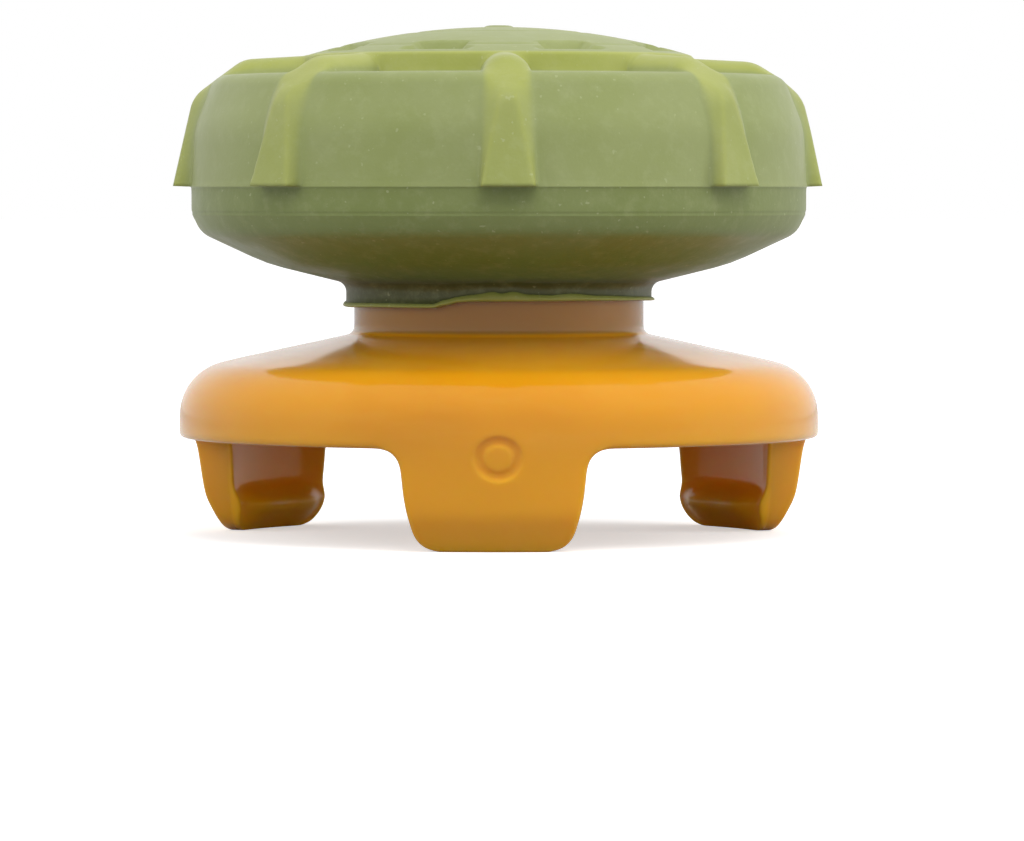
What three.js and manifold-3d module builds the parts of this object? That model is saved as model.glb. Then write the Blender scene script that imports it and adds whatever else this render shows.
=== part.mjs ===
// Controller thumb grip: a clip-on riser for a game controller's thumbstick.
// A ribbed rubber cap is moulded round the head of a hard plastic base. The base's skirt fits over the
// stick's round top, and three claws snap under its rim.
// Millimetres, +Z up. The origin is on the grip's axis, at the level of the claw tips.

import * as THREE from "three";
import { mergeVertices } from "three/addons/utils/BufferGeometryUtils.js";
import { ConvexGeometry } from "three/addons/geometries/ConvexGeometry.js";
import Module from "manifold-3d";

// Thumbstick top that the grip fits, and how freely
const stickRadius = 9.3;
const stickClearance = 0.15;

// Skirt of the base
const skirtWall = 1.52; // beside the stick's top
const skirtLip = 1.3; // from the seat down to the skirt's lower edge
const skirtCrown = 2.24; // plastic between the seat and the foot of the stem
const skirtSlope = THREE.MathUtils.degToRad(12.3); // fall of the top face
const skirtRound = 1.8; // between the top face and the side
const reliefWidth = 1.25; // groove for the raised rim of the stick's top
const reliefDepth = 0.4;

// Claws
const clawCount = 3;
const clawDrop = 3.4; // from the skirt's lower edge to the tips
const clawRootHalf = 3.12; // half the width at the skirt
const clawWaistHalf = 2.95; // half the width where the sides start to draw in
const clawWaistHeight = 1.6;
const clawWaistRound = 3;
const clawTipHalf = 2.5; // half the width at the tips
const clawRootRound = 0.7;
const clawTipRound = 0.9;
const clawTipThickness = 0.5;
const clawTaper = 0.95; // how far in from the skirt's side the tip's outer edge lies
const clawBendHeight = 1.2; // where the outer face starts to turn in
const clawBendInset = 0.34;
const clawBendRound = 1.2;
const clawFlareHeight = 0.3; // above the skirt's lower edge, where the side becomes upright
const clawFlareRound = 1.3;
const hookReach = 0.9; // how far the hook stands in from the socket wall
const hookLevel = 0.75; // height of the hook's nose
const hookNose = 0.3;
const hookSlope = 0.45; // height of the face that holds the stick's rim
const hookLead = 0.05; // how far inside the socket wall the lead-in starts

// Round badge place on the front claw, left plain
const badgeHeight = 3.11; // above the claw tips
const badgeOffset = 0.17; // from the middle of the claw
const badgeRadius = 0.73;
const badgeDepth = 0.25; // below the skirt's side
const badgeDiscRadius = 0.42;
const badgeDiscRise = 0.1;

// Stem, neck and locking head of the base
const stemRadius = 4.97;
const stemHeight = 1.01; // bare stem between the skirt and the rubber
const stemFootRound = 0.6;
const neckRadius = 4.2;
const neckHeight = 3.05;
const headThickness = 1.6;
const headRound = 0.4;

// Rubber cap
const bondGap = 0.3; // between the rubber and the head that it locks on
const collarRadius = 5.25;
const collarHeight = 0.72;
const collarRound = 0.4;
const bowlMidInset = 2.6; // from the cap's side
const bowlMidRise = 0.62; // above the collar
const bowlRise = 1.83; // above the collar, where the bowl meets the side
const bowlBend = 6;
const bowlRound = 1.1;
const capInset = 0.42; // of the cap's side from the skirt's side
const capWall = 2.75; // rubber beside the head
const bandHeight = 1.5; // plain band under the parting line
const sideHeight = 3.78; // from the parting line to the top face
const sideDraft = 0.27; // how far the side leans in over that height
const shoulderRound = 1.5;
const domeInset = 3.95; // from the cap's side
const domeStep = 0.7; // height of the dome's edge over the top face
const domeRise = 0.98;
const gateRadius = 0.45; // mark left by the moulding gate, in the middle of the dome
const gateRise = 0.06;

// Ribs that run from the dome over the shoulder to fins at the parting line
const ribCount = 8;
const ribTurn = THREE.MathUtils.degToRad(2.6); // front rib's turn from the front claw
const ribWidth = 1.62;
const ribBevel = 0.52;
const ribBevelDepth = 0.42;
const ribRise = 0.53; // above the top face, at the shoulder
const ribLift = 0.14; // further rise of the rib on its way to the dome
const ribRoot = 0.8; // depth of a rib's section below its crest
const finRoot = 1.4; // how deep a fin reaches into the side of the cap
const ribShoulderInset = 1.65; // from the cap's side to where the rib starts to fall
const ribShoulderRound = 1.2;
const finProud = 0.6; // beyond the side at the parting line
const finHalf = 0.93; // half the width at the parting line
const finTopHalf = 0.6; // half the width at the top, inside the rib
const finTopSink = 0.06; // of the fin's point below the rib's crest
const finHeight = 3.05;
const finLean = 0.68; // how far in the fin's top lies from its foot
const finSetback = 0.45; // of the rib's own crest behind the fin's foot

// Pockets in the dome between the spokes
const pocketLength = 1.05;
const pocketInset = 0.45; // from the dome's edge
const pocketDepth = 0.45; // below the dome's surface at the pocket's outer wall
const spokeWidth = 2.6;

// Fineness of the facets
const turnFacets = 64;
const arcStep = THREE.MathUtils.degToRad(24);
const arcShare = 0.8; // of a side that a rounded corner may take
const domeSteps = 5;
const ribSteps = 12;
const badgeFacets = 20;
const cutMargin = 1; // how far a cutter runs past what it cuts

// Levels, from the claw tips up
const skirtEdgeZ = clawDrop;
const seatZ = skirtEdgeZ + skirtLip;
const stemFootZ = seatZ + skirtCrown;
const collarFootZ = stemFootZ + stemHeight;
const headFootZ = collarFootZ + neckHeight;
const headTopZ = headFootZ + headThickness;
const bowlZ = collarFootZ + collarHeight;
const partingZ = bowlZ + bowlRise + bandHeight;
const topFaceZ = partingZ + sideHeight;
const domeEdgeZ = topFaceZ + domeStep;

const socketRadius = stickRadius + stickClearance;
const skirtRadius = socketRadius + skirtWall;
const capRadius = skirtRadius - capInset;
const domeRadius = capRadius - domeInset;
const headRadius = capRadius - capWall - bondGap;
const skirtShoulderZ = stemFootZ - (skirtRadius - stemRadius) * Math.tan(skirtSlope);

const wasm = await Module();
wasm.setup();

// A closed three.js geometry as a manifold-3d solid.
function solid(geometry) {
  geometry.deleteAttribute("normal");
  geometry.deleteAttribute("uv");
  const merged = mergeVertices(geometry, 1e-4);
  const index = merged.index.array;
  const triVerts = [];
  for (let i = 0; i < index.length; i += 3) {
    const [a, b, c] = index.slice(i, i + 3);
    if (a !== b && b !== c && c !== a) triVerts.push(a, b, c);
  }
  const vertProperties = merged.attributes.position.array;
  return new wasm.Manifold(
    new wasm.Mesh({ numProp: 3, vertProperties, triVerts: new Uint32Array(triVerts) }),
  );
}

// A manifold-3d solid as a named three.js mesh.
function mesh(name, body, material) {
  const { vertProperties, triVerts } = body.getMesh();
  const geometry = new THREE.BufferGeometry();
  geometry.setAttribute("position", new THREE.BufferAttribute(vertProperties, 3));
  geometry.setIndex(new THREE.BufferAttribute(triVerts, 1));
  geometry.computeVertexNormals();
  const made = new THREE.Mesh(geometry, material);
  made.name = name;
  return made;
}

// Points of an outline through corners [x, y, radius], where a radius rounds its corner by an arc that
// stays within its share of each side.
function rounded(corners) {
  return corners.flatMap(([x, y, radius], i) => {
    const corner = new THREE.Vector2(x, y);
    if (!radius) return [corner];
    const back = new THREE.Vector2(...corners[i - 1]).sub(corner);
    const ahead = new THREE.Vector2(...corners[i + 1]).sub(corner);
    const half = Math.abs(back.angleTo(ahead)) / 2;
    const room = arcShare * Math.min(back.length(), ahead.length());
    const reach = Math.min(radius / Math.tan(half), room);
    const toCentre = back.clone().normalize().add(ahead.clone().normalize());
    const centre = toCentre.setLength(reach / Math.cos(half)).add(corner);
    const start = back.setLength(reach).add(corner).sub(centre);
    const end = ahead.setLength(reach).add(corner).sub(centre);
    const turn = Math.atan2(start.cross(end), start.dot(end));
    const steps = Math.max(1, Math.ceil(Math.abs(turn) / arcStep));
    return Array.from({ length: steps + 1 }, (_, step) =>
      start.clone().rotateAround(new THREE.Vector2(), (turn * step) / steps).add(centre),
    );
  });
}

// A body turned about the Z axis from an outline of [radius, height] corners.
function turned(points) {
  return solid(new THREE.LatheGeometry(points, turnFacets).rotateX(Math.PI / 2));
}

// An outline in X and Z, pushed from the axis towards the front, -Y.
function pushedForward(shape, depth) {
  const settings = { depth, bevelEnabled: false, curveSegments: badgeFacets / 4 };
  return solid(new THREE.ExtrudeGeometry(shape, settings).rotateX(Math.PI / 2));
}

// A rod along Y from the outside in to a given distance from the axis, for the badge place.
function badgeRod(radius, from, to) {
  const rod = new THREE.CylinderGeometry(radius, radius, to - from, badgeFacets);
  return solid(rod.translate(badgeOffset, -(from + to) / 2, badgeHeight));
}

// The gaps between the claws: a disc under the skirt, less the claws' own outlines.
function clawGaps() {
  const claw = new THREE.Shape(
    rounded([
      [-skirtRadius, skirtEdgeZ + cutMargin, 0],
      [-skirtRadius, skirtEdgeZ, 0],
      [-clawRootHalf, skirtEdgeZ, clawRootRound],
      [-clawWaistHalf, clawWaistHeight, clawWaistRound],
      [-clawTipHalf, 0, clawTipRound],
      [clawTipHalf, 0, clawTipRound],
      [clawWaistHalf, clawWaistHeight, clawWaistRound],
      [clawRootHalf, skirtEdgeZ, clawRootRound],
      [skirtRadius, skirtEdgeZ, 0],
      [skirtRadius, skirtEdgeZ + cutMargin, 0],
    ]),
  );
  const reach = skirtRadius + cutMargin;
  const height = skirtEdgeZ + cutMargin;
  const disc = new THREE.CylinderGeometry(reach, reach, height, turnFacets).rotateX(Math.PI / 2);
  let gaps = solid(disc.translate(0, 0, skirtEdgeZ - height / 2));
  for (let i = 0; i < clawCount; i++) {
    const outline = pushedForward(claw, reach + cutMargin);
    gaps = gaps.subtract(outline.rotate([0, 0, (360 / clawCount) * i]));
  }
  return gaps;
}

// Hard plastic base: socket, skirt, claws, stem, neck and head, in one moulding.
function clipBase() {
  const reliefRadius = socketRadius - reliefWidth;
  const noseRadius = socketRadius - hookReach;
  const tipInner = skirtRadius - clawTaper - clawTipThickness;
  let base = turned(
    rounded([
      [0, seatZ],
      [reliefRadius, seatZ],
      [reliefRadius, seatZ + reliefDepth],
      [socketRadius, seatZ + reliefDepth],
      [socketRadius, hookLevel + hookNose + hookSlope],
      [noseRadius, hookLevel + hookNose],
      [noseRadius, hookLevel],
      [Math.min(tipInner, socketRadius - hookLead), 0],
      [skirtRadius - clawTaper, 0],
      [skirtRadius - clawBendInset, clawBendHeight, clawBendRound],
      [skirtRadius, skirtEdgeZ + clawFlareHeight, clawFlareRound],
      [skirtRadius, skirtShoulderZ, skirtRound],
      [stemRadius, stemFootZ, stemFootRound],
      [stemRadius, collarFootZ],
      [neckRadius, collarFootZ],
      [neckRadius, headFootZ],
      [headRadius, headFootZ],
      [headRadius, headTopZ, headRound],
      [0, headTopZ],
    ]),
  ).subtract(clawGaps());
  const badgeFloor = skirtRadius - badgeDepth;
  base = base.subtract(badgeRod(badgeRadius, badgeFloor, skirtRadius + cutMargin));
  return base.add(badgeRod(badgeDiscRadius, badgeFloor - badgeDepth, badgeFloor + badgeDiscRise));
}

// Height of the dome's surface at a radius.
function domeZ(radius) {
  return domeEdgeZ + domeRise * (1 - (radius / domeRadius) ** 2);
}

// One rib with its fin, lying along +X. The rib's section runs along its crest, with its Y as depth.
function rib() {
  const footRadius = capRadius + finProud;
  const finTopRadius = footRadius - finLean;
  const finTopZ = partingZ + finHeight;
  const rootRadius = capRadius - finRoot;
  const crestZ = topFaceZ + ribRise;
  const crest = rounded([
    [domeRadius - ribRoot, crestZ + ribLift],
    [capRadius - ribShoulderInset, crestZ, ribShoulderRound],
    [finTopRadius, finTopZ],
    [footRadius - finSetback, partingZ + ribBevelDepth],
  ]).map((point) => new THREE.Vector3(point.x, 0, point.y));
  const half = ribWidth / 2;
  const section = new THREE.Shape(
    rounded([
      [ribBevel - half, 0],
      [half - ribBevel, 0],
      [half, ribBevelDepth],
      [half, ribRoot],
      [-half, ribRoot],
      [-half, ribBevelDepth],
    ]),
  );
  const extrudePath = new THREE.CatmullRomCurve3(crest);
  const ridge = new THREE.ExtrudeGeometry(section, { steps: ribSteps, extrudePath });
  const fin = new ConvexGeometry(
    [-1, 1].flatMap((hand) => [
      new THREE.Vector3(finTopRadius - finTopSink, 0, finTopZ - finTopSink),
      new THREE.Vector3(footRadius, hand * finHalf, partingZ),
      new THREE.Vector3(rootRadius, hand * finHalf, partingZ),
      new THREE.Vector3(rootRadius, hand * finTopHalf, finTopZ - ribRoot),
    ]),
  );
  return solid(ridge).add(solid(fin));
}

// Sector-shaped hollow between two spokes of the dome, centred on +X.
function pocket() {
  const pocketOuter = domeRadius - pocketInset;
  const pocketInner = pocketOuter - pocketLength;
  const halfPitch = Math.PI / ribCount;
  const edge = (radius) => halfPitch - Math.asin(spokeWidth / 2 / radius);
  const shape = new THREE.Shape();
  shape.absarc(0, 0, pocketOuter, -edge(pocketOuter), edge(pocketOuter), false);
  shape.absarc(0, 0, pocketInner, edge(pocketInner), -edge(pocketInner), true);
  const depth = domeRise + pocketDepth + cutMargin;
  const cutter = new THREE.ExtrudeGeometry(shape, { depth, bevelEnabled: false, curveSegments: 4 });
  return solid(cutter.translate(0, 0, domeZ(pocketOuter) - pocketDepth));
}

// Rubber cap: collar, bowl, side, shoulder, dome, ribs and fins, in one moulding.
function gripCap() {
  const boreRadius = neckRadius + bondGap;
  const holdRadius = headRadius + bondGap;
  const corners = [
    [0, headTopZ + bondGap],
    [holdRadius, headTopZ + bondGap],
    [holdRadius, headFootZ - bondGap],
    [boreRadius, headFootZ - bondGap],
    [boreRadius, collarFootZ],
    [collarRadius, collarFootZ],
    [collarRadius, bowlZ, collarRound],
    [capRadius - bowlMidInset, bowlZ + bowlMidRise, bowlBend],
    [capRadius, bowlZ + bowlRise, bowlRound],
    [capRadius, partingZ],
    [capRadius - sideDraft, topFaceZ, shoulderRound],
    [domeRadius, topFaceZ],
  ];
  for (let i = domeSteps; i >= 1; i--) {
    const radius = gateRadius + ((domeRadius - gateRadius) * (i - 1)) / (domeSteps - 1);
    corners.push([radius, domeZ(radius)]);
  }
  corners.push([gateRadius, domeZ(gateRadius) + gateRise], [0, domeZ(gateRadius) + gateRise]);
  let cap = turned(rounded(corners));
  const pitch = 360 / ribCount;
  const frontTurn = THREE.MathUtils.radToDeg(ribTurn) - 90;
  for (let i = 0; i < ribCount; i++) cap = cap.add(rib().rotate([0, 0, frontTurn + pitch * i]));
  for (let i = 0; i < ribCount; i++) {
    cap = cap.subtract(pocket().rotate([0, 0, frontTurn + pitch * (i + 0.5)]));
  }
  return cap;
}

const greenRubber = new THREE.MeshStandardMaterial({ color: 0x96a069, roughness: 0.6, metalness: 0 });
const amberPlastic = new THREE.MeshStandardMaterial({ color: 0xd8923a, roughness: 0.2, metalness: 0 });

const thumbGrip = new THREE.Group();
thumbGrip.add(mesh("grip_cap", gripCap(), greenRubber));
thumbGrip.add(mesh("clip_base", clipBase(), amberPlastic));

export default thumbGrip;
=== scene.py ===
# %% [markdown]
# # Controller thumb grip
# The grip is two mouldings: a hard amber plastic base with three claws, and a green rubber cap moulded
# round the head of that base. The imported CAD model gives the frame, so every piece here is made at the
# place and size that the frame has. We model in millimetres, because a thumb grip has no metre in it, and
# turn the finished meshes into Blender's metres at the end of each piece.

# %% Load the frame
import math

import bmesh
import bpy
from mathutils import Matrix, Vector


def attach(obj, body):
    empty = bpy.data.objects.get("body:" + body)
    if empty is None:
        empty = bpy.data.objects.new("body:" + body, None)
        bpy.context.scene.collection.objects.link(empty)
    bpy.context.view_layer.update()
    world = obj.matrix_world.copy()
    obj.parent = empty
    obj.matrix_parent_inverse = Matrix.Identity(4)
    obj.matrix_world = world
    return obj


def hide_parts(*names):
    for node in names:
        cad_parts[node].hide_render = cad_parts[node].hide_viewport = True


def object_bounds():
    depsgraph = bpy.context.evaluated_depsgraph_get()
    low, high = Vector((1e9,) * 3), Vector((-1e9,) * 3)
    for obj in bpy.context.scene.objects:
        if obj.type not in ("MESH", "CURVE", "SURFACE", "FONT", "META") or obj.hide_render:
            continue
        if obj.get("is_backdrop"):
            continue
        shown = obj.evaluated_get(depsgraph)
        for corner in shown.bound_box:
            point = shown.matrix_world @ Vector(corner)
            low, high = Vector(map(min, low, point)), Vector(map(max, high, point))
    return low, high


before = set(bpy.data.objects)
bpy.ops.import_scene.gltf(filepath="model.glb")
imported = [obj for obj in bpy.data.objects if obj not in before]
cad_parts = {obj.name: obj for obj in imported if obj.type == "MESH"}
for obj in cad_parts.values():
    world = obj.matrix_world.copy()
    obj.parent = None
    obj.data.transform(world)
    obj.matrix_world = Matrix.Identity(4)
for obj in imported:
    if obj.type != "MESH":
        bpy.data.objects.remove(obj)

cad_box = [list(corner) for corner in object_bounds()]
MM = 0.001
print("frame nodes:", sorted(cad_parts))
print("box in mm:", [[round(v / MM, 2) for v in corner] for corner in cad_box])

# %% [markdown]
# ## Camera
# A picture taken from close by with a long lens keeps both rims of the grip almost level. The eye is at
# the height of the cap's parting line, where the top faces turn into thin lines, and the camera tips down
# a little to take in the claws. A wide lens from nearer would bend those rims, so the distance and the
# lens are worked out together from the size that the grip has in the frame.

# %% Camera
image_width = 1024
image_height = 841
parting_z = 12.0  # level of the cap's parting line, in millimetres
eye_height = parting_z * MM
eye_distance = 214.0 * MM
eye_azimuth = math.radians(0.85)
eye_shift = 0.45 * MM
focal_pixels = 6235  # focal length, counted in pixels of the picture
horizon_row = 186  # row of the picture that lies at the height of the eye

sight = Vector((-math.sin(eye_azimuth), math.cos(eye_azimuth), 0))
sideways = Vector((math.cos(eye_azimuth), math.sin(eye_azimuth), 0))
tip = math.atan2(image_height / 2 - horizon_row, focal_pixels)

camera_data = bpy.data.cameras.new("camera")
camera_data.sensor_width = 36
camera_data.lens = focal_pixels / image_width * camera_data.sensor_width
camera_data.clip_start = 0.01
camera = bpy.data.objects.new("camera", camera_data)
camera.location = sideways * eye_shift - sight * eye_distance + Vector((0, 0, eye_height))
camera.rotation_euler = (math.pi / 2 - tip, 0, eye_azimuth)
bpy.context.collection.objects.link(camera)
bpy.context.scene.camera = camera
print("lens", round(camera_data.lens, 1), "mm, tipped down", round(math.degrees(tip), 2), "degrees")

# %% [markdown]
# ## Outlines
# Both mouldings are bodies of revolution at heart, so each starts as a half outline that is spun round
# the axis. A designer gives such an outline as a few corners, each with a radius. The helpers below turn
# the corners into points: straight stretches stay straight, and each rounded corner becomes an arc.

# %% Outline helpers
def rounded(corners, arc_step=math.radians(12), share=0.8):
    """Points of an outline through (x, y, radius) corners."""
    points = []
    for i, (x, y, *radius) in enumerate(corners):
        corner = Vector((x, y))
        if not radius:
            points.append(corner)
            continue
        back = Vector(corners[i - 1][:2]) - corner
        ahead = Vector(corners[i + 1][:2]) - corner
        half = back.angle(ahead) / 2
        reach = min(radius[0] / math.tan(half), share * min(back.length, ahead.length))
        centre = corner + (back.normalized() + ahead.normalized()).normalized() * reach / math.cos(half)
        start = corner + back.normalized() * reach - centre
        end = corner + ahead.normalized() * reach - centre
        turn = -start.angle_signed(end)
        steps = max(1, math.ceil(abs(turn) / arc_step))
        for step in range(steps + 1):
            points.append(centre + Matrix.Rotation(turn * step / steps, 2) @ start)
    return points


def spaced(points, most):
    """The same outline with no stretch longer than most."""
    result = [points[0]]
    for a, b in zip(points, points[1:]):
        pieces = max(1, math.ceil((b - a).length / most))
        result += [a.lerp(b, k / pieces) for k in range(1, pieces + 1)]
    return result


def along(points, distance):
    """The point of an outline at a distance from its start."""
    for a, b in zip(points, points[1:]):
        length = (b - a).length
        if distance <= length:
            return a.lerp(b, distance / length if length else 0)
        distance -= length
    return points[-1].copy()


def outline_length(points):
    return sum((b - a).length for a, b in zip(points, points[1:]))


square_bend = rounded([(0, 0), (10, 0, 5), (10, 10)])
print("a bend of 90 degrees gets", len(square_bend) - 2, "points")

# %% [markdown]
# ## Spinning
# The spin operator sweeps a chain of edges round an axis. With use_merge the last column joins the first,
# but a point on the axis comes out once for each column, so doubles are merged by distance. Each vertex
# then keeps two numbers, the ring that it came from and its column. Later steps find a vertex by them,
# wherever it has moved.

# %% Spin helper
def spun(outline, columns):
    """A closed body of revolution, whose vertices remember their ring and their column."""
    bm = bmesh.new()
    ring = bm.verts.layers.int.new("ring")
    column = bm.verts.layers.int.new("column")
    verts = [bm.verts.new((p.x, 0, p.y)) for p in outline]
    for i, v in enumerate(verts):
        v[ring] = i
    edges = [bm.edges.new(pair) for pair in zip(verts, verts[1:])]
    bmesh.ops.spin(bm, geom=verts + edges, cent=(0, 0, 0), axis=(0, 0, 1), dvec=(0, 0, 0),
                   angle=2 * math.pi, steps=columns, use_merge=True)
    bmesh.ops.remove_doubles(bm, verts=bm.verts, dist=1e-5)
    for v in bm.verts:
        v[column] = round(math.atan2(v.co.y, v.co.x) / (2 * math.pi) * columns) % columns
    bmesh.ops.recalc_face_normals(bm, faces=bm.faces)
    return bm, ring, column

# %% [markdown]
# ## Finished pieces
# A finished piece sits at the origin, unturned and unscaled, with its place in its mesh, so that patterns
# on Object coordinates stay where they are put. That is why the bmesh is scaled to metres and not the
# object.

# %% Helper for finished pieces
def finished(bm, name):
    """The bmesh, in millimetres, as an object in metres at the origin."""
    bmesh.ops.scale(bm, vec=(MM, MM, MM), verts=bm.verts)
    mesh = bpy.data.meshes.new(name)
    bm.to_mesh(mesh)
    bm.free()
    for face in mesh.polygons:
        face.use_smooth = True
    made = bpy.data.objects.new(name, mesh)
    bpy.context.collection.objects.link(made)
    print(name, len(mesh.vertices), "vertices,", len(mesh.polygons), "faces")
    return made

# %% [markdown]
# ## Rubber cap: sizes
# The cap is a thick disc with a bowl-shaped underside and a short collar. Eight ribs run from the dome in
# the middle over the shoulder, and end in fins that flare at the parting line, where the two halves of
# the mould met. All of it is one moulding, so all of it is one mesh.

# %% Cap sizes
cap_radius = 10.53
top_z = 15.78
dome_radius = 6.6
dome_edge_z = 16.46
dome_top_z = 17.44
bore_radius = 5.0
bore_top_z = 8.75
collar_radius = 5.24
collar_z = 8.3
rib_count = 8
rib_turn = math.radians(2.6)
rib_pitch = 2 * math.pi / rib_count

# Neck and head of the base, which lock the rubber, and the gap that the model leaves round them
neck_radius = 4.2
head_radius = 7.5
head_foot_z = 11.0
head_top_z = 12.6
bond_gap = 0.3
print("cap:", round(2 * cap_radius, 2), "mm across without its ribs")
print("from the collar to the dome's top:", round(dome_top_z - collar_z, 2), "mm")

# %% [markdown]
# ## Rubber cap: spinning the body
# One way to get eight identical ribs is to model one wedge and mirror or array it, but then the seams
# between the wedges have to be welded. Another is to join rib solids with a Boolean, which leaves hard
# creases where moulded rubber has small fillets. Here the plain body is spun first, with its columns
# gathered where the ribs will be, and the ribs are then raised out of it. The rubber stays one skin. The
# half outline starts on the axis in the hollow for the head, goes round the collar and the bowl, up the
# side, and back to the axis over the dome.

# %% Outline of the cap
throat_radius = neck_radius + bond_gap
hollow_radius = head_radius + bond_gap
hollow_foot_z = head_foot_z - bond_gap
hollow_top_z = head_top_z + bond_gap
roof_ring = 4  # one more ring, so that the hollow's roof isn't all long slivers
bore = [Vector(p) for p in (
    (0, hollow_top_z), (roof_ring, hollow_top_z), (hollow_radius, hollow_top_z),
    (hollow_radius, hollow_foot_z), (throat_radius, hollow_foot_z), (throat_radius, bore_top_z),
    (bore_radius, bore_top_z), (bore_radius, collar_z),
)]
under = spaced(rounded([
    (collar_radius, collar_z), (collar_radius, 8.67, 0.45), (7.95, 9.34, 6), (10.2, 10.39, 0.9),
    (10.5, 11.02, 0.06), (10.5, 11.1, 0.06), (10.525, 11.17, 0.06), (cap_radius, 11.3),
], arc_step=math.radians(9)), most=0.4)
band = [Vector(p) for p in (
    (cap_radius, 11.55), (cap_radius, 11.8), (cap_radius + 0.005, 11.9), (cap_radius + 0.015, 11.95),
    (cap_radius + 0.035, 11.975),
)]
side = rounded([
    (cap_radius + 0.035, parting_z), (cap_radius + 0.015, 12.06, 0.05), (10.43, 14.0, 3),
    (9.72, top_z, 0.6), (6.72, top_z),
], arc_step=math.radians(6))
crest = rounded([
    (11.17, parting_z), (10.47, 15.05, 1.1), (8.76, 16.33, 1.1), (6.7, 16.45),
], arc_step=math.radians(6))
# The wall's last corner only shows which way the dome goes on
wall = rounded([(6.7, top_z), (dome_radius, dome_edge_z, 0.13), (dome_radius - 0.4, dome_edge_z + 0.1)])

side_rings = 64
side_length = outline_length(side)
side_points = [along(side, side_length * i / side_rings) for i in range(side_rings + 1)]
crest_length = outline_length(crest)
crest_points = [along(crest, crest_length * i / side_rings) for i in range(side_rings + 1)]


def dome_z(radius):
    return dome_edge_z + (dome_top_z - dome_edge_z) * (1 - (radius / dome_radius) ** 2)


# The collar's lip: radius, and height as a share from the lip's lower edge to its upper one
lip_shape = [
    (5.0, 0.2), (5.03, 0.02), (5.12, -0.04), (5.26, 0), (5.33, 0.1), (5.35, 0.3), (5.335, 0.6),
    (5.305, 0.84), (5.262, 1.0), (5.24, 1.06),
]
lip_z = 8.0
lip_height = 0.2
lip_outline = [Vector((r, lip_z + lip_height * share)) for r, share in lip_shape]

wall_points = spaced(wall[:-1], most=0.14)[1:]
dome_start = wall_points[-1].x - 0.06
dome_rings = 62
dome_points = []
for i in range(dome_rings + 1):
    radius = dome_start * (1 - i / dome_rings)
    dome_points.append(Vector((radius, dome_z(radius))))

outline = bore + lip_outline + under + band + side_points + wall_points + dome_points
first_cap_lip = len(bore)
first_under = first_cap_lip + len(lip_outline)
first_side = first_under + len(under) + len(band)
first_wall = first_side + len(side_points)
first_dome = first_wall + len(wall_points)
print("cap outline:", len(outline), "points,", first_wall - first_side, "of them up the side")

# %% Spin the cap
# Distances from a rib's middle at which the columns lie, and the columns between two ribs
near_columns = [
    0, 0.12, 0.24, 0.35, 0.45, 0.54, 0.62, 0.7, 0.77, 0.82, 0.855, 0.875, 0.905, 0.925, 0.97, 1.06,
    1.3, 1.7,
]
far_columns = 5
half_columns = len(near_columns) - 1 + far_columns
columns = 2 * half_columns * rib_count
cap, ring, column = spun(outline, columns)
print("cap spun:", columns, "columns,", len(cap.verts), "vertices")

# %% [markdown]
# ## Rubber cap: the section of a rib
# A rib's height over the body comes from two outlines, the body's own and that of the rib's crest. What
# lies between them is filled by a section: a rounded ridge on top, and lower down a fin with a flat face
# that is narrow at its top and almost as wide as the rib at the parting line. The section gives a share
# from 0 to 1. Its corners are soft, because a mould for rubber has no sharp ones.

# %% Rib section
rib_half = 0.92
ridge_half = 0.8
ridge_from_z = 15.1
ridge_blend = 0.95
fin_top_z = 15.05
fin_top_half = 0.24
fin_foot_half = 0.86
fin_corner = 0.03


def soft_step(x):
    """Rises smoothly from 0 at 0 to 1 at 1."""
    x = min(max(x, 0.0), 1.0)
    return x * x * (3 - 2 * x)


def soft_ramp(x, softness):
    """0 below 0 and 1 above 1, with both corners rounded."""
    def rise(value):
        steps = value / softness
        return value if steps > 30 else softness * math.log1p(math.exp(steps))
    return rise(x) - rise(x - 1)


def flat_half(crest_height):
    """Half width of a fin's flat face at a height."""
    down = min(max((fin_top_z - crest_height) / (fin_top_z - parting_z), 0), 1)
    return fin_top_half + (fin_foot_half - fin_top_half) * down


def section(t, crest_height):
    """Share of the rib's height at a distance from its middle."""
    if t > rib_half + 0.5:
        return 0.0
    slope = rib_half - flat_half(crest_height)
    fin = soft_ramp((rib_half - t) / slope, min(fin_corner / slope, 0.25))
    ridge = max(1 - (t / ridge_half) ** 2.2, 0) ** 0.6
    above = soft_step((crest_height - ridge_from_z) / ridge_blend)
    return fin * (1 - above) + ridge * above


print("a fin's flat face is", round(2 * flat_half(parting_z), 2), "mm wide at the parting line")

# %% [markdown]
# ## Rubber cap: columns that follow the ribs
# Spun columns fan out from the axis, so they would cross a straight rib at a slant. On every ring the
# columns near a rib are therefore moved to fixed distances from the rib's middle. They run beside it like
# the lines of a drawing, and its flanks come out straight.

# %% Columns beside the ribs
near_share = 0.75  # of half a pitch, which the columns near a rib may fill


def column_angle(index, radius):
    """Angle of a column's rib, its own angle from that rib, and the rib's number."""
    rib = round(index / (2 * half_columns))
    step = index - rib * 2 * half_columns
    scale = min(1, radius * math.sin(rib_pitch / 2) * near_share / near_columns[-1])
    near = [math.asin(min(1, d * scale / radius)) for d in near_columns]
    k = abs(step)
    if k < len(near):
        angle = near[k]
    else:
        angle = near[-1] + (rib_pitch / 2 - near[-1]) * (k - len(near) + 1) / far_columns
    return rib * rib_pitch, math.copysign(angle, step), rib % rib_count


rib_reach = math.degrees(column_angle(len(near_columns) - 1, cap_radius)[1])
print("a rib's own columns cover", round(2 * rib_reach, 1), "degrees at the cap's side")

# %% [markdown]
# ## Rubber cap: the lip on the stem
# Where the mould for the rubber closes on the stem, a little rubber creeps out, and the collar ends in a
# thin wavy lip. The waves could come from noise, but then nobody chooses where they fall. Here two short
# tables give the lip's lower and upper edge by the angle from the front, and soft steps join their
# points.

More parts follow.
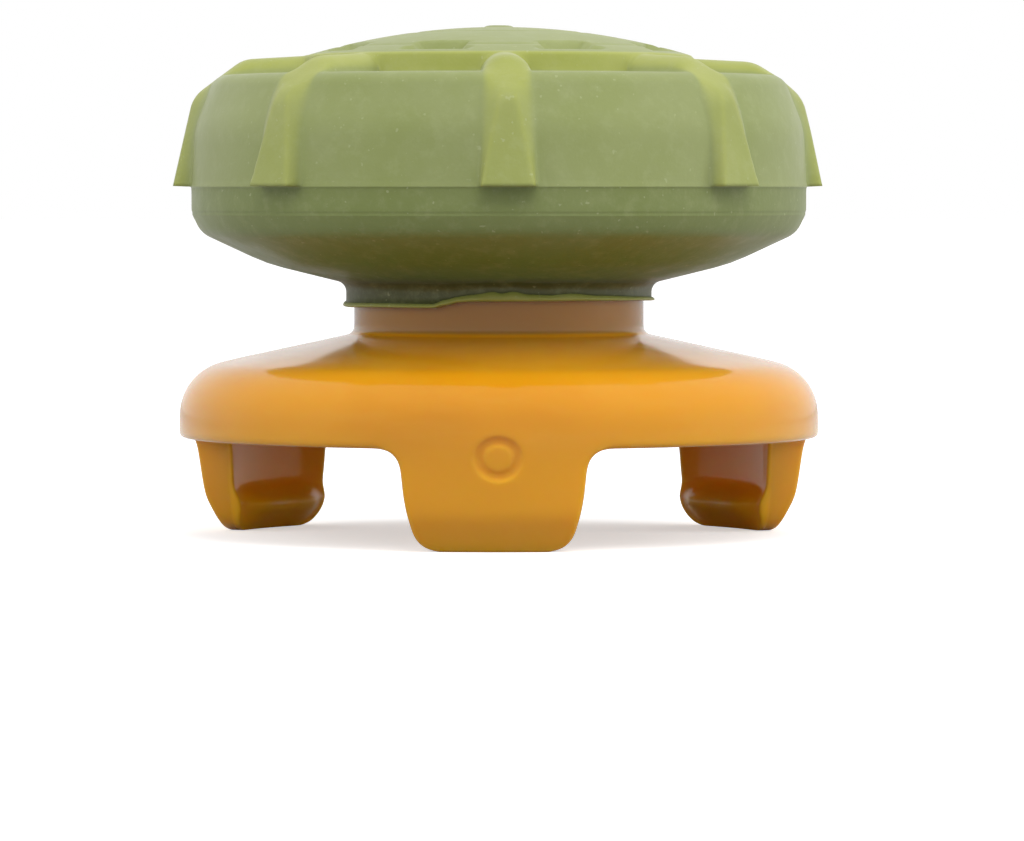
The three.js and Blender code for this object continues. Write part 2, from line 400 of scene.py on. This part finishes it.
# %% Lip of the collar
lip_fade_z = 8.9  # level at which the collar no longer follows the lip
lip_clearance = 0.07  # least height between the lip's upper edge and the collar's next ring

# Angle from the front in degrees, and height
lip_low = [
    (-180, 8.0), (-110, 7.95), (-77, 7.87), (-45, 7.9), (-24, 7.9), (-19, 8.0), (-14, 8.1), (-8, 8.13),
    (30, 8.14), (64, 8.12), (90, 8.08), (130, 7.98), (180, 8.0),
]
lip_high = [
    (-180, 8.18), (-110, 8.12), (-77, 8.02), (-45, 8.04), (-24, 8.04), (-19, 8.18), (-14, 8.28),
    (-8, 8.36), (-1, 8.44), (2, 8.39), (6, 8.45), (12, 8.36), (20, 8.33), (28, 8.38), (42, 8.30),
    (64, 8.24), (90, 8.2), (130, 8.14), (180, 8.18),
]


def from_table(table, x):
    for (x0, y0), (x1, y1) in zip(table, table[1:]):
        if x0 <= x <= x1:
            return y0 + (y1 - y0) * soft_step((x - x0) / (x1 - x0))
    return table[-1][1]


def lip_place(i, home, turn):
    """Where a vertex of the collar goes, for the lip is wavy."""
    front = math.degrees((turn + math.pi / 2 + math.pi) % (2 * math.pi) - math.pi)
    low, high = from_table(lip_low, front), from_table(lip_high, front)
    if i < first_under:
        return Vector((home.x, low + (high - low) * lip_shape[i - first_cap_lip][1]))
    start = max(high + lip_clearance, collar_z)
    return Vector((home.x, start + (lip_fade_z - start) * (home.y - collar_z) / (lip_fade_z - collar_z)))


print("the lip is", round(from_table(lip_high, 0) - from_table(lip_low, 0), 2), "mm high at the front")

# %% [markdown]
# ## Rubber cap: relief on the dome
# A thumb needs something to hold on to, so the ribs go on over the dome as spokes, with shallow pockets
# between them, and two fine grooves run round it. In the middle is the small mark of the moulding gate.
# This is low relief on a smooth surface, so a height for each vertex is enough, and no further mesh is
# needed.

# %% Dome relief
spoke_half = 1.24
pocket_inner = 5.06
pocket_outer = 6.2
pocket_depth = 0.4
groove_radius = 5.5
inner_groove_radius = 2.9
gate_radius = 0.5


def dome_relief(radius, beside):
    """Height to add on the dome, at a distance from the axis and from a spoke's middle."""
    hollow = (soft_step((beside - spoke_half) / 0.16) * soft_step((radius - pocket_inner) / 0.14)
              * soft_step((pocket_outer - radius) / 0.16))
    groove = math.exp(-((radius - groove_radius) / 0.09) ** 2)
    inner_groove = math.exp(-((radius - inner_groove_radius) / 0.1) ** 2)
    gate = soft_step((gate_radius - radius) / 0.12)
    return 0.06 * gate - 0.04 * groove - 0.03 * inner_groove - pocket_depth * hollow


print("the gate mark stands", round(dome_relief(0, 0), 2), "mm proud")

# %% [markdown]
# ## Rubber cap: moving the vertices
# Each vertex of the side now goes from its place on the body towards the rib's crest, by the share that
# the section gives. Thin rubber looks lighter where light comes through it, and only the mesh knows where
# it is thin. So a number from 0 to 1 is kept on each vertex, by which the material paints that glow as a
# lighter green: high on the ridges, the ring and the lip. It also holds painted highlight lines along the
# fins' edges.

# %% Raise the ribs
rib_strength = {2: 0.86, 1: 0.96, 3: 0.93}  # soft mouldings differ a little from rib to rib
collar_reach = 6  # radius within which the low rings of the body belong to the collar
# Shares of painted glow, a lighter green as if light came through the thin rubber
lip_glow = 0.8
ring_glow = 0.95
dome_glow = 0.12


def rib_glow_and_highlight(share, beside, crest_height):
    """A rib's painted glow, its ridge more than its fin, with a painted highlight along the fin's edges."""
    # The edge term is a painted highlight line along the fin's flat face
    edge = math.exp(-((beside - flat_half(crest_height)) / 0.08) ** 2) * (crest_height < fin_top_z)
    return soft_step(1.7 * share) * (0.5 + 0.4 * soft_step((crest_height - 14.6) / 1.2)) + 0.2 * edge


# Painted glow and painted highlight lines, as a share from 0 to 1 on each vertex
glow_and_highlight = cap.verts.layers.float.new("glow_and_highlight")
for v in cap.verts:
    i = v[ring]
    home = outline[i]
    if home.x < 1e-4:
        continue
    rib_angle, offset, rib = column_angle(v[column], home.x)
    turn = rib_angle + offset + rib_turn - math.pi / 2
    beside = home.x * math.sin(abs(offset))
    place = home
    if first_cap_lip <= i < first_side and home.y < lip_fade_z and home.x < collar_reach:
        place = lip_place(i, home, turn)
        v[glow_and_highlight] = lip_glow * (first_cap_lip < i < first_under - 1)
    elif first_side <= i < first_dome:
        if i < first_wall:
            target = crest_points[i - first_side]
        else:
            part = (i - first_wall + 1) / (first_dome - first_wall)
            target = crest_points[-1].lerp(Vector((dome_start, dome_z(dome_start))), part)
            v[glow_and_highlight] = ring_glow
        share = section(beside, target.y)
        place = home.lerp(target, share * rib_strength.get(rib, 1.0))
        v[glow_and_highlight] = max(v[glow_and_highlight], rib_glow_and_highlight(share, beside, target.y))
    elif i >= first_dome:
        place = Vector((home.x, home.y + dome_relief(home.x, beside)))
        v[glow_and_highlight] = dome_glow
    v.co = (place.x * math.cos(turn), place.x * math.sin(turn), place.y)

cap_body = finished(cap, "grip_cap_rubber")

# %% [markdown]
# ## Plastic base: the turned body
# The base is a shallow cup with a crown that slopes up to the stem. The neck and the locking head stand
# inside the rubber. A Subdivision Surface wants a light cage with a few extra rings beside each edge,
# because the distance between those rings sets how round the edge becomes. So this outline has few
# points, and most of them sit near edges.

# %% Spin the base
skirt_radius = 10.97
socket_radius = 9.45
skirt_edge_z = 3.4
seat_z = 4.7
stem_radius = 4.97
stem_top_z = 8.55

socket = [
    (0, seat_z), (3.2, seat_z), (6.3, seat_z), (7.95, seat_z), (8.2, seat_z), (8.22, 4.95), (8.35, 5.1),
    (9.2, 5.1), (9.42, 5.03), (socket_radius, 4.75), (socket_radius, 3.75),
]
rim = [
    (socket_radius, skirt_edge_z), (9.68, skirt_edge_z), (10.62, skirt_edge_z),
    (skirt_radius, skirt_edge_z),
]
crown = spaced(rounded([
    (skirt_radius, 3.75), (skirt_radius, 5.66, 1.85), (stem_radius, 6.96, 0.32), (stem_radius, 8.2),
], arc_step=math.radians(14)), most=1.15)
inside = [
    (stem_radius, stem_top_z), (neck_radius, stem_top_z), (neck_radius, head_foot_z),
    (head_radius, head_foot_z), (head_radius, head_top_z), (0, head_top_z),
]
base_outline = [Vector(p) for p in socket + rim] + crown + [Vector(p) for p in inside]
first_rim = len(socket)
first_inside = len(socket) + len(rim) + len(crown)

# Columns of half a claw, as shares of its half width, and of half a gap, as shares of the gap
claw_columns = [0, 0.22, 0.44, 0.64, 0.81, 0.93, 1]
gap_columns = [0.05, 0.13, 0.23, 0.34, 0.45, 0.56, 0.67, 0.78, 0.89, 1]
claw_count = 3
half_period = len(claw_columns) - 1 + len(gap_columns)
base_columns = 2 * half_period * claw_count
base, base_ring, base_column = spun(base_outline, base_columns)
print("base spun:", len(base_outline), "rings,", base_columns, "columns")

# %% [markdown]
# ## Plastic base: claws
# Three claws hang from the skirt and hook under the rim of what the grip is clipped to. Claws could be
# separate blocks joined by a Boolean, but the smoothing would then pinch at the joins. Here each one is the
# skirt's own lower face, extruded downwards row by row. Three small outlines say where the rows go: the
# claw's front view and the two sides of its section.

# %% Outlines of the claws
claw_rows = [3.35, 3.22, 3.0, 2.7, 2.3, 1.9, 1.55, 1.28, 1.05, 0.9, 0.72, 0.48, 0.25, 0.09, 0]
claw_flare_z = 3.7
hook_radius = 8.55
claw_front = rounded([
    (4.6, skirt_edge_z), (3.12, skirt_edge_z, 0.72), (2.95, 1.6, 3), (2.5, 0, 0.9), (0, 0),
])
claw_outer = rounded([(skirt_radius, 5), (skirt_radius, claw_flare_z, 1.3), (10.63, 1.2, 1.2), (10.02, 0)])
claw_inner = rounded([
    (socket_radius, 5), (socket_radius, 1.5, 0.1), (hook_radius, 1.05, 0.1), (hook_radius, 0.75, 0.1),
    (9.4, 0),
])
claw_depths = [0, 0.16, 0.84, 1]  # share of a claw's thickness at which each ring of the rim lies
claw_wall = 0.45  # least thickness of a claw beside its hook
hook_fade = 0.75  # how much of the hook is gone at the claw's sides


def at_height(outline, z):
    """First coordinate of a falling outline where its second one is z."""
    for a, b in zip(outline, outline[1:]):
        if a.y >= z >= b.y and a.y > b.y:
            return a.x + (b.x - a.x) * (a.y - z) / (a.y - b.y)
    return outline[-1].x


claw_root_half = max(p.x for p in claw_front[1:])
claw_tip_half = max(p.x for p in claw_front if p.y < 1e-4)


def half_width(z):
    if z >= skirt_edge_z:
        return claw_root_half
    return claw_tip_half if z <= 0 else at_height(claw_front[1:-1], z)


claw_widths = [round(2 * half, 2) for half in (claw_root_half, claw_tip_half)]
print("a claw's width in mm, with its fillets at the skirt and between them at the tip:", claw_widths)

# %% Extrude the claws
def claw_offset(index):
    """Signed column counted from the middle of the nearest claw, and that claw."""
    claw = round(index / (2 * half_period))
    return index - claw * 2 * half_period, claw % claw_count


row = base.verts.layers.int.new("row")
last_column = len(claw_columns) - 1
rim_rings = range(first_rim, first_rim + len(rim))
roots = []
for face in base.faces:
    rings = {v[base_ring] for v in face.verts}
    offsets = [claw_offset(v[base_column])[0] for v in face.verts]
    if rings <= set(rim_rings) and max(abs(o) for o in offsets) <= last_column:
        roots.append(face)
print("faces that the claws grow from:", len(roots))
for number in range(1, len(claw_rows) + 1):
    grown = bmesh.ops.extrude_face_region(base, geom=roots)["geom"]
    left_inside = [face for face in roots if face.is_valid]
    bmesh.ops.delete(base, geom=left_inside, context="FACES")
    roots = [item for item in grown if isinstance(item, bmesh.types.BMFace)]
    for item in grown:
        if isinstance(item, bmesh.types.BMVert):
            item[row] = number

# %% [markdown]
# ## Plastic base: placing the vertices
# The spin gave even columns, and the extrusion left all its rows in one plane. Now every vertex gets its
# place. On a claw, its row gives the height, the half width and the radii, so the hook is simply a few rows
# whose inner radius is smaller, and it dies away towards the claw's sides. Between the claws, the columns
# share out the gap.

# %% Place the vertices of the base
for v in base.verts:
    home = base_outline[v[base_ring]]
    if home.x < 1e-4:
        continue
    offset, claw = claw_offset(v[base_column])
    turn = 2 * math.pi / claw_count * claw - math.pi / 2
    z, radius = home.y, home.x
    k = abs(offset)
    in_claw = v[base_ring] in rim_rings and k <= last_column
    if in_claw:
        z = claw_rows[v[row] - 1] if v[row] else skirt_edge_z
        depth = claw_depths[v[base_ring] - first_rim]
        inner, outer = at_height(claw_inner, z), at_height(claw_outer, z)
        beside_hook = soft_step((claw_columns[k] - 0.5) / 0.45)
        inner += (min(socket_radius, outer - claw_wall) - inner) * hook_fade * beside_hook
        radius = inner + (outer - inner) * depth
    if k <= last_column:
        across = claw_columns[k] * half_width(z) if in_claw else claw_columns[k] * claw_root_half
        angle = math.asin(across / (radius if in_claw else max(radius, socket_radius)))
    else:
        widest = math.asin(claw_root_half / max(radius, socket_radius))
        angle = widest + (math.pi / claw_count - widest) * gap_columns[k - last_column - 1]
    turn += math.copysign(angle, offset)
    v.co = (radius * math.cos(turn), radius * math.sin(turn), z)
bmesh.ops.recalc_face_normals(base, faces=base.faces)
print("base cage:", len(base.verts), "vertices,", len(base.faces), "faces")

# %% [markdown]
# ## Plastic base: round mark
# A mould's insert often leaves a round dimple with a plain raised disc in it. To model a round detail in
# a grid of quads, dissolve the quads under it into one face with many corners, move those corners onto a
# circle, and inset that face again and again. Every inset is one more ring, and sinking the rings by
# different amounts gives the dimple and its disc. A Boolean would be quicker, but leaves a hard, messy
# rim.

# %% Round mark on the front claw
mark_x = 0.17
mark_z = 3.11

# Radius of each ring, and how deep it is sunk
mark_rings = [
    (1.1, 0), (1.0, -0.012), (0.88, -0.012), (0.8, 0), (0.73, 0.07), (0.66, 0.11), (0.53, 0.11),
    (0.47, 0.05), (0.41, 0.015), (0.3, 0),
]

# The patch of faces that the mark takes up
patch_y = -9.9
patch_half = 1.5
patch_foot_z = 1.95
patch_top_z = 4.12


def on_front(x, z, sunk):
    """A point of the front claw's outer face, sunk into it."""
    radius = at_height(claw_outer, z) if z < claw_flare_z else skirt_radius
    return Vector((x, -math.sqrt(radius ** 2 - x ** 2) + sunk, z))


under_mark = [
    face for face in base.faces
    if (c := face.calc_center_median()).y < patch_y and abs(c.x) < patch_half
    and patch_foot_z < c.z < patch_top_z and face.normal.y < -0.8
]
mark = bmesh.ops.dissolve_faces(base, faces=under_mark, use_verts=True)["region"][0]
for number, (ring_radius, sunk) in enumerate(mark_rings):
    if number:
        bmesh.ops.inset_individual(base, faces=[mark], thickness=0.02, use_even_offset=True)
    for v in mark.verts:
        angle = math.atan2(v.co.z - mark_z, v.co.x - mark_x)
        x = mark_x + ring_radius * math.cos(angle)
        z = mark_z + ring_radius * math.sin(angle)
        v.co = on_front(x, z, sunk)
print("mark made from", len(under_mark), "faces with", len(mark.verts), "corners")

# %% [markdown]
# ## Plastic base: creases and smoothing
# Inside the rubber the neck and the head have square edges. Extra rings beside an edge would keep it
# sharp under the Subdivision Surface, but nobody sees these edges, so they get a crease, which needs no
# rings. The modifier stays live, so the light cage can still be changed.

# %% Finish the base
crease = base.edges.layers.float.new("crease_edge")
for edge in base.edges:
    rings = {v[base_ring] for v in edge.verts}
    if len(rings) == 1 and min(rings) >= first_inside:
        edge[crease] = 1
clip_body = finished(base, "clip_base_moulding")
smooth = clip_body.modifiers.new("subdivision", "SUBSURF")
smooth.levels = 2
smooth.render_levels = 2

# %% [markdown]
# ## Materials: helpers
# Moulded rubber and plastic look plain from afar, yet no patch of them is quite like the next. Each
# material below starts from a few tones of the real thing and adds slow changes of tone, small specks or
# streaks and a very fine bump. All patterns read Object coordinates, in metres, so they stay on the piece
# from every side.

# %% Material helpers
def new_material(name):
    material = bpy.data.materials.new(name)
    material.use_nodes = True
    nodes = material.node_tree.nodes
    return material, nodes, material.node_tree.links, nodes["Principled BSDF"]


def object_place(nodes):
    return nodes.new("ShaderNodeTexCoord").outputs["Object"]


def noise(nodes, links, place, scale, detail=3, roughness=0.5):
    """Noise in cells of about 1/scale metres."""
    texture = nodes.new("ShaderNodeTexNoise")
    texture.inputs["Scale"].default_value = scale
    texture.inputs["Detail"].default_value = detail
    texture.inputs["Roughness"].default_value = roughness
    links.new(place, texture.inputs["Vector"])
    return texture.outputs["Fac"]


def spread(nodes, links, value, low, high, to_low=0.0, to_high=1.0, smooth=True):
    """The value's range from low to high, stretched to another range."""
    remap = nodes.new("ShaderNodeMapRange")
    remap.interpolation_type = "SMOOTHSTEP" if smooth else "LINEAR"
    ends = {"From Min": low, "From Max": high, "To Min": to_low, "To Max": to_high}
    for socket_name, number in ends.items():
        remap.inputs[socket_name].default_value = number
    links.new(value, remap.inputs["Value"])
    return remap.outputs["Result"]


def blend(nodes, links, factor, first, second):
    """Two colours mixed by a factor. A colour is given as numbers or comes from a socket."""
    mix = nodes.new("ShaderNodeMix")
    mix.data_type = "RGBA"
    for socket_in, source in ((mix.inputs[0], factor), (mix.inputs[6], first), (mix.inputs[7], second)):
        if isinstance(source, tuple):
            socket_in.default_value = (*source, 1)
        else:
            links.new(source, socket_in)
    return mix.outputs[2]


def bumped(nodes, links, height, distance, strength, normal=None):
    bump = nodes.new("ShaderNodeBump")
    bump.inputs["Distance"].default_value = distance
    bump.inputs["Strength"].default_value = strength
    links.new(height, bump.inputs["Height"])
    if normal:
        links.new(normal, bump.inputs["Normal"])
    return bump.outputs["Normal"]

# %% [markdown]
# ## Materials: green rubber
# The rubber is a soft moss green with a satin skin. Light goes a little way into it, so thin ribs and edges
# look lighter and yellower than the thick wall behind them. Subsurface scattering alone would need strong
# light from behind to show that, so the material paints that glow: it mixes in a lighter, yellower green by
# the number that the vertices carry, which also holds painted highlight lines on the fins. Below the
# parting line it paints shade by height: a darker band under the line, and darker still in the bowl and on
# the collar, under the cap.

# %% Green rubber: colour
green_rubber, nodes, links, shader = new_material("green_rubber")
place = object_place(nodes)
# Share of painted glow and painted highlight, from the vertices
glow_and_highlight = nodes.new("ShaderNodeAttribute")
glow_and_highlight.attribute_name = "glow_and_highlight"
broad = spread(nodes, links, noise(nodes, links, place, 95, 2), 0.35, 0.65)
cloud = spread(nodes, links, noise(nodes, links, place, 330, 4, 0.6), 0.3, 0.7)
wall_green = blend(nodes, links, broad, (0.250, 0.292, 0.096), (0.300, 0.340, 0.136))
bloom = spread(nodes, links, cloud, 0, 1, 0, 0.5)
wall_green = blend(nodes, links, bloom, wall_green, (0.300, 0.335, 0.150))
# A lighter, yellower green that paints the glow of thin rubber and the highlight lines
glow_green = blend(nodes, links, cloud, (0.335, 0.366, 0.078), (0.390, 0.418, 0.118))

# Painted shade: a darker band just under the parting line, and darker still in the bowl and on the
# collar, which lie under the cap
height = nodes.new("ShaderNodeSeparateXYZ")
links.new(place, height.inputs[0])
level = height.outputs["Z"]
shade_below_parting = spread(nodes, links, level, (parting_z - 0.06) * MM, (parting_z - 0.01) * MM, 0.5, 0)
wall_green = blend(nodes, links, shade_below_parting, wall_green, (0.105, 0.140, 0.030))
# Painted shade in the bowl under the cap, in a greener tone
bowl_shade = spread(nodes, links, level, 8.8 * MM, 11.0 * MM, 1, 0)
wall_green = blend(nodes, links, bowl_shade, wall_green, (0.068, 0.156, 0.010))
# Painted shade on the collar, deep under the cap
collar_shade = spread(nodes, links, level, 8.65 * MM, 9.0 * MM, 1, 0)
wall_green = blend(nodes, links, collar_shade, wall_green, (0.074, 0.084, 0.026))
green = blend(nodes, links, glow_and_highlight.outputs["Fac"], wall_green, glow_green)

# Dust and a few pale grains
dust = spread(nodes, links, noise(nodes, links, place, 1700, 5, 0.7), 0.45, 0.75, 0, 0.16)
green = blend(nodes, links, dust, green, (0.44, 0.47, 0.26))
grains = spread(nodes, links, noise(nodes, links, place, 5200, 1), 0.72, 0.78, 0, 0.28)
green = blend(nodes, links, grains, green, (0.50, 0.53, 0.33))
links.new(green, shader.inputs["Base Color"])
print("nodes for the rubber's colour:", len(nodes))

# %% Green rubber: surface
links.new(spread(nodes, links, cloud, 0, 1, 0.42, 0.54), shader.inputs["Roughness"])
skin = noise(nodes, links, place, 9000, 2)
uneven = noise(nodes, links, place, 700, 3)
normal = bumped(nodes, links, uneven, 0.00006, 0.35)
links.new(bumped(nodes, links, skin, 0.00002, 0.25, normal), shader.inputs["Normal"])
shader.inputs["Subsurface Weight"].default_value = 0.12
shader.inputs["Subsurface Radius"].default_value = (1.0, 1.0, 0.35)
shader.inputs["Subsurface Scale"].default_value = 0.0006
shader.inputs["Specular IOR Level"].default_value = 0.35
shader.inputs["Sheen Weight"].default_value = 0.08
shader.inputs["Sheen Roughness"].default_value = 0.4
print("the rubber has", len(nodes), "nodes in all")

# %% [markdown]
# ## Materials: amber plastic
# The base is a glossy, slightly milky orange plastic. It looks glossy because it mirrors its bright
# surroundings at flat angles. One strong specular layer would also whiten the colour where the surface
# faces us, so the body gets a weak one, under a thin and very smooth coat. Light wanders through such
# plastic, and subsurface scattering lets it. The colour adds a painted glow, a warmer orange, on the claws
# and inside the socket, and painted shade, a dark brown, on the stem under the cap.

# %% Amber plastic: colour
amber_plastic, nodes, links, shader = new_material("amber_plastic")
place = object_place(nodes)
cloud = spread(nodes, links, noise(nodes, links, place, 170, 2), 0.3, 0.7)
flow = nodes.new("ShaderNodeMapping")
flow.inputs["Scale"].default_value = (1, 1, 4)
links.new(place, flow.inputs["Vector"])
streaks = spread(nodes, links, noise(nodes, links, flow.outputs["Vector"], 420, 3), 0.35, 0.7)
amber = blend(nodes, links, cloud, (0.690, 0.285, 0.005), (0.745, 0.325, 0.009))
pale_streaks = spread(nodes, links, streaks, 0, 1, 0, 0.2)
amber = blend(nodes, links, pale_streaks, amber, (0.74, 0.35, 0.03))

# Height and distance from the axis, for the painted glow on the claws and in the socket, the socket's
# rougher surface, and the painted shade on the stem
split = nodes.new("ShaderNodeSeparateXYZ")
links.new(place, split.inputs[0])
flat = nodes.new("ShaderNodeCombineXYZ")
links.new(split.outputs["X"], flat.inputs["X"])
links.new(split.outputs["Y"], flat.inputs["Y"])
radius = nodes.new("ShaderNodeVectorMath")
radius.operation = "LENGTH"
links.new(flat.outputs[0], radius.inputs[0])
from_axis = radius.outputs["Value"]
low_down = spread(nodes, links, split.outputs["Z"], 5.1 * MM, 5.3 * MM, 1, 0)
inward = spread(nodes, links, from_axis, 9.5 * MM, 9.7 * MM, 1, 0)
socket_zone = nodes.new("ShaderNodeMath")
socket_zone.operation = "MULTIPLY"
links.new(low_down, socket_zone.inputs[0])
links.new(inward, socket_zone.inputs[1])
# Painted glow: the claws a warmer orange, as if light came through the thin plastic
claw_glow = spread(nodes, links, split.outputs["Z"], 2.4 * MM, 4.4 * MM, 0.8, 0)
amber = blend(nodes, links, claw_glow, amber, (0.81, 0.365, 0.002))
# Painted glow: the inner faces of the socket and the hooks a brighter orange
amber = blend(nodes, links, socket_zone.outputs[0], amber, (0.93, 0.44, 0.006))
# Painted shade and painted dark reflection: the stem under the cap a dark brown
stem_shade = nodes.new("ShaderNodeMath")
stem_shade.operation = "MULTIPLY"
links.new(spread(nodes, links, split.outputs["Z"], 6.95 * MM, 7.1 * MM), stem_shade.inputs[0])
links.new(spread(nodes, links, from_axis, 5.0 * MM, 5.15 * MM, 0.8, 0), stem_shade.inputs[1])
amber = blend(nodes, links, stem_shade.outputs[0], amber, (0.315, 0.168, 0.052))
links.new(amber, shader.inputs["Base Color"])
print("nodes for the plastic's colour:", len(nodes))

# %% Amber plastic: surface
gloss = spread(nodes, links, streaks, 0, 1, 0.13, 0.19)
rough = nodes.new("ShaderNodeMix")
links.new(socket_zone.outputs[0], rough.inputs[0])
links.new(gloss, rough.inputs[2])
rough.inputs[3].default_value = 0.5
links.new(rough.outputs[0], shader.inputs["Roughness"])
ripple = noise(nodes, links, place, 900, 2)
links.new(bumped(nodes, links, ripple, 0.00003, 0.2), shader.inputs["Normal"])
shader.inputs["Specular IOR Level"].default_value = 0.2
shader.inputs["Coat Weight"].default_value = 0.3
shader.inputs["Coat Roughness"].default_value = 0.08
shader.inputs["Subsurface Weight"].default_value = 0.5
shader.inputs["Subsurface Radius"].default_value = (1.0, 0.42, 0.08)
shader.inputs["Subsurface Scale"].default_value = 0.0016
print("the plastic has", len(nodes), "nodes in all")

# %% [markdown]
# ## Fit the pieces to the frame
# Each piece rides on the part's only body and takes the place of the CAD solid that it was modelled
# after.

# %% Fit the pieces
for piece, node, slot, material in (
    (cap_body, "grip_cap", "green_rubber", green_rubber),
    (clip_body, "clip_base", "amber_plastic", amber_plastic),
):
    piece.data.materials.append(material)
    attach(piece, "root")
    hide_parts(node)
    print(piece.name, "stands for", node, "in", material.name)

# %% [markdown]
# ## Floor
# A glossy part shows what is round it, so it looks best on a plain pale floor. If such a floor also threw
# all of its light back, it would wash out the underside of the cap. So the floor is pale for the camera
# and for reflections, and darker for the light that it bounces, as a desk would be. A glow that only the
# camera sees brings it up to the white of the backdrop, and the grip's soft shadow stays.

# %% Floor
def seen_directly(nodes, links):
    """1 for what the camera, a reflection or a clear pane looks at, and 0 for bounced light."""
    path = nodes.new("ShaderNodeLightPath")
    total = path.outputs["Is Camera Ray"]
    for name in ("Is Glossy Ray", "Is Transmission Ray"):
        either = nodes.new("ShaderNodeMath")
        either.operation = "MAXIMUM"
        links.new(total, either.inputs[0])
        links.new(path.outputs[name], either.inputs[1])
        total = either.outputs[0]
    return total


floor_mesh = bmesh.new()
bmesh.ops.create_grid(floor_mesh, x_segments=1, y_segments=1, size=2.0)
floor_data = bpy.data.meshes.new("floor")
floor_mesh.to_mesh(floor_data)
floor_mesh.free()
floor = bpy.data.objects.new("floor", floor_data)
bpy.context.collection.objects.link(floor)
floor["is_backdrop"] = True

bounced_grey = (0.28, 0.28, 0.28)
seen_grey = (0.88, 0.88, 0.88)
floor_paint, nodes, links, shader = new_material("floor_paint")
direct = seen_directly(nodes, links)
shader.inputs["Roughness"].default_value = 0.9
shader.inputs["Specular IOR Level"].default_value = 0.0
links.new(blend(nodes, links, direct, bounced_grey, seen_grey), shader.inputs["Base Color"])
shader.inputs["Emission Color"].default_value = (1, 1, 1, 1)
glow = nodes.new("ShaderNodeMath")
glow.operation = "MULTIPLY"
glow.inputs[1].default_value = 0.5
links.new(nodes.new("ShaderNodeLightPath").outputs["Is Camera Ray"], glow.inputs[0])
links.new(glow.outputs[0], shader.inputs["Emission Strength"])
floor_data.materials.append(floor_paint)
print("floor:", [round(side, 2) for side in floor.dimensions[:2]], "m")

# %% [markdown]
# ## World
# The world gives most of the light. It comes from all round, a little more of it from the horizon than
# from above, as in a white tent. The camera and the reflections see it as plain white.

# %% World
scene = bpy.context.scene
scene.view_settings.view_transform = "Standard"
world = bpy.data.worlds.new("studio")
scene.world = world
world.use_nodes = True
nodes = world.node_tree.nodes
links = world.node_tree.links
background = nodes["Background"]
background.inputs["Color"].default_value = (1, 1, 1, 1)
direction = nodes.new("ShaderNodeTexCoord")
split = nodes.new("ShaderNodeSeparateXYZ")
links.new(direction.outputs["Generated"], split.inputs[0])
horizon_light = 0.84
zenith_light = 0.68
sky = spread(nodes, links, split.outputs["Z"], 0, 1, horizon_light, zenith_light, smooth=False)
choice = nodes.new("ShaderNodeMix")
links.new(seen_directly(nodes, links), choice.inputs[0])
links.new(sky, choice.inputs[2])
choice.inputs[3].default_value = 1.0
links.new(choice.outputs[0], background.inputs["Strength"])
print("world light:", horizon_light, "at the horizon,", zenith_light, "overhead")

# %% [markdown]
# ## Lamps
# Three softboxes give the even light a direction: a key lamp from high in front, one low at the right and
# a weak one at the left. A lamp that reflections can see draws its own hard rectangle on glossy plastic,
# so these can't be seen in reflections.

# %% Softboxes
grip_middle = Vector((0, 0, 0.01))


def softbox(name, azimuth, elevation, distance, width, height, power):
    """An area lamp that faces the grip from an azimuth, counted as the camera's, and an elevation."""
    lamp = bpy.data.lights.new(name, "AREA")
    lamp.shape = "RECTANGLE"
    lamp.size = width
    lamp.size_y = height
    lamp.energy = power
    a, e = math.radians(azimuth), math.radians(elevation)
    away = Vector((math.sin(a) * math.cos(e), -math.cos(a) * math.cos(e), math.sin(e)))
    holder = bpy.data.objects.new(name, lamp)
    holder.location = grip_middle + away * distance
    holder.rotation_euler = away.to_track_quat("Z", "Y").to_euler()
    holder.visible_glossy = False
    bpy.context.collection.objects.link(holder)


softbox("key_softbox", 20, 53, 0.34, 0.26, 0.20, 0.5)
softbox("right_softbox", 84, 16, 0.32, 0.16, 0.24, 0.38)
softbox("left_softbox", -62, 24, 0.34, 0.20, 0.20, 0.24)

# %% [markdown]
# ## Sizes
# The meshes have to stay inside the box of the CAD model that they stand for. Both boxes are printed, so
# that they can be compared after each run.

# %% Print the sizes and finish
size = {"cad": cad_box, "visual": [list(corner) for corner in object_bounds()]}
for name, box in size.items():
    print(name, [[round(v / MM, 3) for v in corner] for corner in box])
